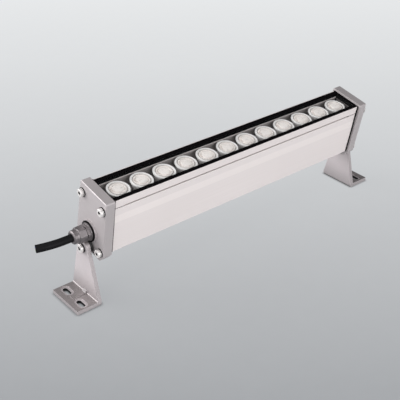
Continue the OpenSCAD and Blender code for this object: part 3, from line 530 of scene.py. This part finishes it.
class WASHER_OT_stage(bpy.types.Operator):
    """Camera, pale floor and soft studio light"""

    bl_idname = "washer.stage"
    bl_label = "Stage"

    # Place of the camera in metres, with y from the pivot, and its turn and roll in degrees
    CAMERA_PLACE = (-0.4614, -0.5015, 0.4468)
    CAMERA_TURN = (58.83, 0, -40.34)
    CAMERA_ROLL = 0.965
    SENSOR_WIDTH = 36

    # Half the floor's width in metres, and the number of tones that make its even fading
    FLOOR_REACH = 6
    FLOOR_TONES = 7
    PAPER = (0.6, 0.61, 0.62)
    # Share of the painted tone in what the camera sees of the paper
    GLOW = 0.9
    # Reach and steepness of the painted shadow that the paper shows close to the feet
    SHADOW_REACH = 3 * MM
    SHADOW_STEEPNESS = 1.4
    SKY = (0.8, 0.81, 0.83)
    SKY_STRENGTH = 0.3

    # Name, place and width in metres, and power in watts of each square lamp
    LAMPS = (
        ("left_lamp", (-1.5, -0.15, 0.5), 1.3, 12),
        ("front_lamp", (-0.1, -1.5, 0.35), 1.3, 26),
        ("back_lamp", (-0.9, 0.9, 0.7), 1.0, 20),
        ("top_lamp", (-0.3, -0.2, 1.7), 1.2, 8),
    )
    LAMPS_AIM = (0, 0, 0.06)

    def execute(self, context):
        scene = context.scene
        scene.view_settings.view_transform = "Standard"
        camera = self.camera(scene)
        self.floor(scene, camera)
        self.lamps(scene)
        self.surroundings(scene)
        return {"FINISHED"}

    def camera(self, scene):
        """The camera, placed and turned as the photograph was taken"""
        data = bpy.data.cameras.new("camera")
        data.lens = scene.washer_sizes.focal_length
        data.sensor_width = self.SENSOR_WIDTH
        camera = bpy.data.objects.new("camera", data)
        camera.location = Vector((0, PIVOT.y, 0)) + Vector(self.CAMERA_PLACE)
        turn = Euler([math.radians(angle) for angle in self.CAMERA_TURN]).to_matrix()
        roll = Matrix.Rotation(math.radians(self.CAMERA_ROLL), 3, "Z")
        camera.rotation_euler = (turn @ roll).to_euler()
        scene.collection.objects.link(camera)
        scene.camera = camera
        return camera

    def floor(self, scene, camera):
        """A sheet of paper whose tone pales evenly from the near to the far edge of the view"""
        reach = self.FLOOR_REACH
        mesh = bpy.data.meshes.new("floor")
        mesh.from_pydata(
            [(-reach, -reach, 0), (reach, -reach, 0), (reach, reach, 0), (-reach, reach, 0)],
            [], [(0, 1, 2, 3)])
        floor = bpy.data.objects.new("floor", mesh)
        scene.collection.objects.link(floor)
        mesh.materials.append(self.paper(scene, camera))

    def paper(self, scene, camera):
        """Pale paper that the camera sees in even tones, with the light's shadow on it and a
        painted shadow close to the feet
        """
        finish = moulded("floor_paper", self.PAPER, roughness=0.9, grain=500, depth=0.01,
                         Specular_IOR_Level=0.1)
        ahead, distances = self.view_of_floor(camera)
        nearest, farthest = distances[0], distances[-1]
        ramp = finish.node("ShaderNodeValToRGB")
        finish.link(finish.spread(finish.along((*ahead, 0)), 0, 1, nearest, farthest),
                    ramp.inputs["Fac"])
        stops = ramp.color_ramp.elements
        while len(stops) < len(distances):
            stops.new(0.5)
        colours = scene.washer_colours
        for number, (stop, distance) in enumerate(zip(stops, distances)):
            stop.position = (distance - nearest) / (farthest - nearest)
            share = number / (len(distances) - 1)
            stop.color = (*even_mix(colours.floor_near, colours.floor_far, share), 1.0)
        glow = finish.node("ShaderNodeEmission")
        finish.link(ramp.outputs["Color"], glow.inputs["Color"])
        # Painted shadow: the glow fades close to the feet
        shade = finish.reckon("POWER", finish.openness(self.SHADOW_REACH),
                              self.SHADOW_STEEPNESS)
        finish.link(shade, glow.inputs["Strength"])
        rays = finish.node("ShaderNodeLightPath").outputs
        seen = finish.reckon("MAXIMUM", rays["Is Camera Ray"], rays["Is Glossy Ray"])
        seen = finish.reckon("MAXIMUM", seen, rays["Is Transmission Ray"])
        blend = finish.node("ShaderNodeMixShader")
        finish.link(finish.reckon("MULTIPLY", seen, self.GLOW), blend.inputs["Fac"])
        finish.link(finish.shader.outputs["BSDF"], blend.inputs[1])
        finish.link(glow.outputs["Emission"], blend.inputs[2])
        output = finish.tree.nodes["Material Output"]
        finish.link(blend.outputs["Shader"], output.inputs["Surface"])
        return finish.material

    def view_of_floor(self, camera):
        """The way ahead on the floor, and how far along it even steps up the picture lie"""
        turn = camera.rotation_euler.to_matrix()
        ahead = (turn @ Vector((0, 0, -1))).to_2d().normalized()
        half_view = camera.data.sensor_width / 2 / camera.data.lens
        distances = []
        for step in range(self.FLOOR_TONES):
            share = step / (self.FLOOR_TONES - 1)
            ray = turn @ Vector((0, (2 * share - 1) * half_view, -1))
            spot = camera.location + ray * (camera.location.z / -ray.z)
            distances.append(spot.to_2d().dot(ahead))
        return ahead, distances

    def lamps(self, scene):
        """Wide soft lamps round the light, aimed at its middle"""
        for name, place, size, power in self.LAMPS:
            data = bpy.data.lights.new(name, "AREA")
            data.shape = "SQUARE"
            data.size = size
            data.energy = power
            lamp = bpy.data.objects.new(name, data)
            lamp.location = place
            lamp.visible_camera = False
            aim = Vector(self.LAMPS_AIM) - lamp.location
            lamp.rotation_euler = aim.to_track_quat("-Z", "Y").to_euler()
            scene.collection.objects.link(lamp)

    def surroundings(self, scene):
        """A pale sky for the light's sake, and the paper's far tone for the camera"""
        world = bpy.data.worlds.new("studio")
        world.use_nodes = True
        nodes, links = world.node_tree.nodes, world.node_tree.links
        background = nodes["Background"]
        background.inputs["Color"].default_value = (*self.SKY, 1.0)
        background.inputs["Strength"].default_value = self.SKY_STRENGTH
        beyond = nodes.new("ShaderNodeBackground")
        beyond.inputs["Color"].default_value = (*scene.washer_colours.floor_far, 1.0)
        beyond.inputs["Strength"].default_value = self.GLOW
        seen = nodes.new("ShaderNodeMixShader")
        links.new(nodes.new("ShaderNodeLightPath").outputs["Is Camera Ray"], seen.inputs["Fac"])
        links.new(background.outputs["Background"], seen.inputs[1])
        links.new(beyond.outputs["Background"], seen.inputs[2])
        links.new(seen.outputs["Shader"], nodes["World Output"].inputs["Surface"])
        scene.world = world


class WASHER_OT_cable(bpy.types.Operator):
    """Cable out of the gland, with its cut end and three cores"""

    bl_idname = "washer.cable"
    bl_label = "Cable"

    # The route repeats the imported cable's points, in millimetres from the gland's mouth
    ROUTE = (
        (11, 0, 0), (8, 0, 0), (5, 0, 0), (2, 0, 0), (0, 0, 0), (-3, 0, 0),
        (-6, 0.1, 0), (-9, 0.25, -0.05), (-12, 0.5, -0.1), (-15, 0.95, -0.15),
        (-18, 1.55, -0.25), (-21, 2.3, -0.4), (-24, 3.2, -0.55), (-27, 4.25, -0.75),
        (-29, 5, -0.9), (-30.8, 5.75, -1),
    )
    CORES = (
        ("core_brown", (0.12, 0.05, 0.02)),
        ("core_blue", (0.02, 0.06, 0.3)),
        ("core_green", (0.1, 0.25, 0.03)),
    )
    # Where the cores lie in the cut: the first one's angle, and their distance from the
    # middle and the strands' radius as shares of a core's radius
    FIRST_ANGLE, CORE_SHARE, STRANDS_SHARE = 0.5, 1.25, 0.6
    # How far a core reaches into the sheath, and it and its strands out of the cut
    CORE_IN, CORE_OUT, STRANDS_OUT = 0.5 * MM, 0.1 * MM, 0.16 * MM

    def execute(self, context):
        sizes = context.scene.washer_sizes
        low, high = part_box("gland_dome_nut")
        mouth = Vector((low.x, (low.y + high.y) / 2, (low.z + high.z) / 2))
        points = [mouth + Vector(point) * MM for point in self.ROUTE]
        curve = bpy.data.curves.new("mains_cable", "CURVE")
        curve.dimensions = "3D"
        curve.bevel_depth = sizes.cable_diameter / 2
        curve.bevel_resolution = 8
        curve.use_fill_caps = True
        spline = curve.splines.new("POLY")
        spline.points.add(len(points) - 1)
        for target, point in zip(spline.points, points):
            target.co = (*point, 1)
        cable = bpy.data.objects.new("cable_sheath", curve)
        context.scene.collection.objects.link(cable)
        sheath = moulded("cable_sheath", (0.005, 0.005, 0.006), roughness=0.55, grain=900,
                         depth=0.03, Specular_IOR_Level=0.1)
        curve.materials.append(sheath.material)
        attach(cable, HEAD)
        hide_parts("mains_cable")
        cores = self.cores(sizes, points[-1], (points[-1] - points[-2]).normalized())
        dress("cable_tail", sheath)
        return {"FINISHED"}

    def cores(self, sizes, end, along):
        """Three insulated cores, whose ends show in the cut face"""
        turn = along.to_track_quat("Z", "Y").to_matrix().to_4x4()
        radius = sizes.core_diameter / 2
        strands = radius * self.STRANDS_SHARE
        section = ((0, -self.CORE_IN), (radius, -self.CORE_IN), (radius, self.CORE_OUT),
                   (radius * 0.9, self.STRANDS_OUT), (strands, self.STRANDS_OUT),
                   (strands, self.CORE_OUT), (0, self.CORE_OUT))
        made = []
        for number, (name, colour) in enumerate(self.CORES):
            angle = self.FIRST_ANGLE + number * math.tau / len(self.CORES)
            offset = Vector((math.cos(angle), math.sin(angle), 0)) * radius * self.CORE_SHARE
            place = Matrix.Translation(end) @ turn @ Matrix.Translation(offset)
            bm = bmesh.new()
            lathe(bm, section, place, steps=24)
            finish = moulded(name, colour, roughness=0.4)
            made.append(new_piece(name, finished_mesh(name, bm), finish, "core_brown", HEAD))
        return made


class WASHER_OT_profile(bpy.types.Operator):
    """Finish of the long aluminium profile and its window"""

    bl_idname = "washer.profile"
    bl_label = "Profile and Window"

    def execute(self, context):
        sizes = context.scene.washer_sizes
        colours = context.scene.washer_colours
        dress("housing_extrusion", anodised_profile(sizes, colours), edge=0.15)
        rubber = moulded("black_silicone", colours.rubber, roughness=0.7,
                         Specular_IOR_Level=0.03)
        dress("glass_seal", rubber, edge=0.12)
        dress("glass_cover", clear_glass(), edge=0.15)
        for side in SIDES:
            dress(f"{side}_gasket", rubber)
        return {"FINISHED"}


class WASHER_OT_lenses(bpy.types.Operator):
    """Row of lenses in their cups, over the LED board"""

    bl_idname = "washer.lenses"
    bl_label = "Lenses"

    # Half section of a lens, as radius and height over the rim of its cup in millimetres:
    # pocket over the light source, bowl, rim, groove, outer zone, ring step and dome
    SECTION = (
        (0, -8.5), (2, -8.5), (2.1, -9.55), (5.35, -9.55), (6.6, -7.5), (7.4, -5.4),
        (8.05, -3.3), (8.62, -1.25), (8.7, -0.12), (8.15, -0.1), (8.05, -1.1), (7.7, -1.1),
        (7.6, 0), (7.2, 0.1), (6.3, 0.2), (6.1, -0.5), (5.3, -0.55), (5, 0.26),
        (4, 0.36), (2.7, 0.42), (1.3, 0.45), (0, 0.46),
    )
    STEPS_ROUND = 64
    # Shallow notch in the ring step: its middle and half its run in degrees, and how far the
    # points of the section with these numbers are moved out and up in millimetres
    NOTCH_MIDDLE, NOTCH_REACH = 160, 42
    NOTCH = {14: (0.5, -1.6), 15: (0.3, -2.2), 16: (0, -1.2)}

    def execute(self, context):
        sizes = context.scene.washer_sizes
        colours = context.scene.washer_colours
        white = moulded("lens_white", (0.98, 0.965, 0.955), roughness=0.3, grain=900)
        dress("lens_holders", white, edge=0.1)
        self.row_of_lenses(sizes, lens_acrylic(colours))
        dress("led_chips", moulded("phosphor", (0.85, 0.68, 0.2), roughness=0.6))
        dress("led_board", moulded("board_lacquer", colours.board, roughness=0.5))
        dress("board_screws", metal("screw_steel", (0.5, 0.48, 0.47), roughness=0.35))
        dress("thermal_pad", moulded("heat_pad", (0.45, 0.5, 0.58), roughness=0.8))
        return {"FINISHED"}

    def notch(self, angle, number):
        """How far the notch moves a point of the section out and up"""
        apart = abs((math.degrees(angle) - self.NOTCH_MIDDLE + 180) % 360 - 180)
        if number not in self.NOTCH or apart > self.NOTCH_REACH:
            return 0, 0
        share = math.cos(math.pi / 2 * apart / self.NOTCH_REACH)
        return tuple(share * part * MM for part in self.NOTCH[number])

    def row_of_lenses(self, sizes, finish):
        """The lenses as one piece, set into the rims of their cups"""
        place = head_matrix(sizes)
        upright = place.inverted()
        rim = max((upright @ v.co).z for v in NODES["lens_holders"].data.vertices)
        section = [(radius * MM, height * MM) for radius, height in self.SECTION]
        bm = bmesh.new()
        for number in range(sizes.lens_count):
            x = (number - (sizes.lens_count - 1) / 2) * sizes.lens_pitch
            lathe(bm, section, place @ Matrix.Translation((x, 0, rim)), self.STEPS_ROUND,
                  self.notch)
        new_piece("lens_row", finished_mesh("lens_row", bm), finish, "lens_clear", HEAD,
                  "lenses")


class WASHER_OT_caps(bpy.types.Operator):
    """End caps with their screws and washers"""

    bl_idname = "washer.caps"
    bl_label = "End Caps"

    def execute(self, context):
        colours = context.scene.washer_colours
        blasted = metal("cast_cap", colours.cap, roughness=0.5, grain=1100, depth=0.04)
        # Painted shade: the caps' tops darker, and the right cap's top darker still
        top = blasted.between(blasted.facing((0, 0, 1)), *TOWARDS)
        blasted.paint(top, darker(colours.cap, 0.84))
        right_end = blasted.between(blasted.along((1, 0, 0)), 0, 1)
        blasted.paint(blasted.both(top, right_end), darker(colours.cap, 0.74))
        steel = socket_steel("bright_steel", (0.74, 0.71, 0.7))
        rubber = moulded("seal_rubber", colours.rubber, roughness=0.6, Specular_IOR_Level=0.1)
        for side in SIDES:
            dress(f"{side}_end_cap", blasted, edge=0.12)
            dress(f"{side}_cap_screws", steel, edge=0.12)
            dress(f"{side}_cap_washers", steel, edge=0.08)
            dress(f"{side}_cap_seals", rubber)
        return {"FINISHED"}


class WASHER_OT_gland(bpy.types.Operator):
    """Cable gland on the left cap"""

    bl_idname = "washer.gland"
    bl_label = "Cable Gland"

    def execute(self, context):
        colours = context.scene.washer_colours
        plated = metal("plated_gland", colours.gland, roughness=0.42, grain=500, metallic=0.75)
        rubber = moulded("ring_rubber", colours.rubber, roughness=0.6, Specular_IOR_Level=0.1)
        dress("gland_body", plated, edge=0.35, segments=3)
        dress("gland_dome_nut", plated, edge=0.35, segments=3)
        dress("gland_seal_ring", rubber, edge=0.4, segments=3)
        dress("gland_insert", rubber)
        return {"FINISHED"}


class WASHER_OT_feet(bpy.types.Operator):
    """Slotted feet with their pivot screws, washers and spacers"""

    bl_idname = "washer.feet"
    bl_label = "Feet"

    def execute(self, context):
        colours = context.scene.washer_colours
        plate = foot_metal(context.scene.washer_sizes, colours)
        steel = socket_steel("pivot_steel", (0.7, 0.67, 0.66))
        dark = metal("dark_spring_steel", (0.05, 0.045, 0.045), roughness=0.4, grain=700,
                     depth=0.01)
        nylon = moulded("dark_nylon", (0.03, 0.03, 0.03), roughness=0.5)
        for side in SIDES:
            dress(f"{side}_bracket", plate, edge=0.25)
            dress(f"{side}_pivot_screw", steel, edge=0.15)
            dress(f"{side}_pivot_washer", dark, edge=0.06)
            dress(f"{side}_spring_washer", dark, edge=0.1)
            dress(f"{side}_pivot_spacer", nylon, edge=0.2)
        return {"FINISHED"}


class WASHER_OT_driver(bpy.types.Operator):
    """Driver board, its pieces and the leads inside the profile"""

    bl_idname = "washer.driver"
    bl_label = "Driver"

    # Node, colour, roughness and rounding of the edges in millimetres
    PIECES = (
        ("driver_board", (0.02, 0.14, 0.05), 0.4, 0.0),
        ("driver_transformer", (0.04, 0.04, 0.045), 0.5, 0.3),
        ("driver_capacitors", (0.02, 0.04, 0.16), 0.3, 0.4),
        ("driver_film_capacitor", (0.6, 0.36, 0.03), 0.35, 0.5),
        ("driver_choke", (0.4, 0.16, 0.05), 0.35, 0.0),
        ("driver_chips", (0.012, 0.012, 0.012), 0.5, 0.1),
        ("input_terminal", (0.03, 0.22, 0.1), 0.35, 0.2),
        ("output_terminal", (0.03, 0.22, 0.1), 0.35, 0.2),
        ("input_leads", (0.16, 0.06, 0.025), 0.4, 0.0),
        ("output_leads", (0.05, 0.045, 0.045), 0.4, 0.0),
    )

    def execute(self, context):
        for node, colour, roughness, edge in self.PIECES:
            dress(node, moulded(f"{node}_skin", colour, roughness), edge)
        return {"FINISHED"}


class WASHER_PT_panel(bpy.types.Panel):
    """Lists the steps that dress the wall washer light"""

    bl_idname = "WASHER_PT_panel"
    bl_label = "Wall Washer Light"
    bl_space_type = "VIEW_3D"
    bl_region_type = "UI"
    bl_category = "Wall Washer"

    def draw(self, context):
        column = self.layout.column()
        for group in (context.scene.washer_sizes, context.scene.washer_colours):
            for name in group.bl_rna.properties.keys():
                if name not in ("rna_type", "name"):
                    column.prop(group, name)
        for operator in STEPS:
            column.operator(operator.bl_idname)


STEPS = (
    WASHER_OT_stage,
    WASHER_OT_cable,
    WASHER_OT_profile,
    WASHER_OT_lenses,
    WASHER_OT_caps,
    WASHER_OT_gland,
    WASHER_OT_feet,
    WASHER_OT_driver,
)
CLASSES = (WasherSizes, WasherColours, *STEPS, WASHER_PT_panel)


def register():
    for cls in CLASSES:
        bpy.utils.register_class(cls)
    bpy.types.Scene.washer_sizes = bpy.props.PointerProperty(type=WasherSizes)
    bpy.types.Scene.washer_colours = bpy.props.PointerProperty(type=WasherColours)


def unregister():
    del bpy.types.Scene.washer_colours
    del bpy.types.Scene.washer_sizes
    for cls in reversed(CLASSES):
        bpy.utils.unregister_class(cls)


def main():
    register()
    bpy.ops.washer.stage()
    bpy.ops.washer.cable()
    bpy.ops.washer.profile()
    bpy.ops.washer.lenses()
    bpy.ops.washer.caps()
    bpy.ops.washer.gland()
    bpy.ops.washer.feet()
    bpy.ops.washer.driver()


if __name__ == "__main__":
    main()
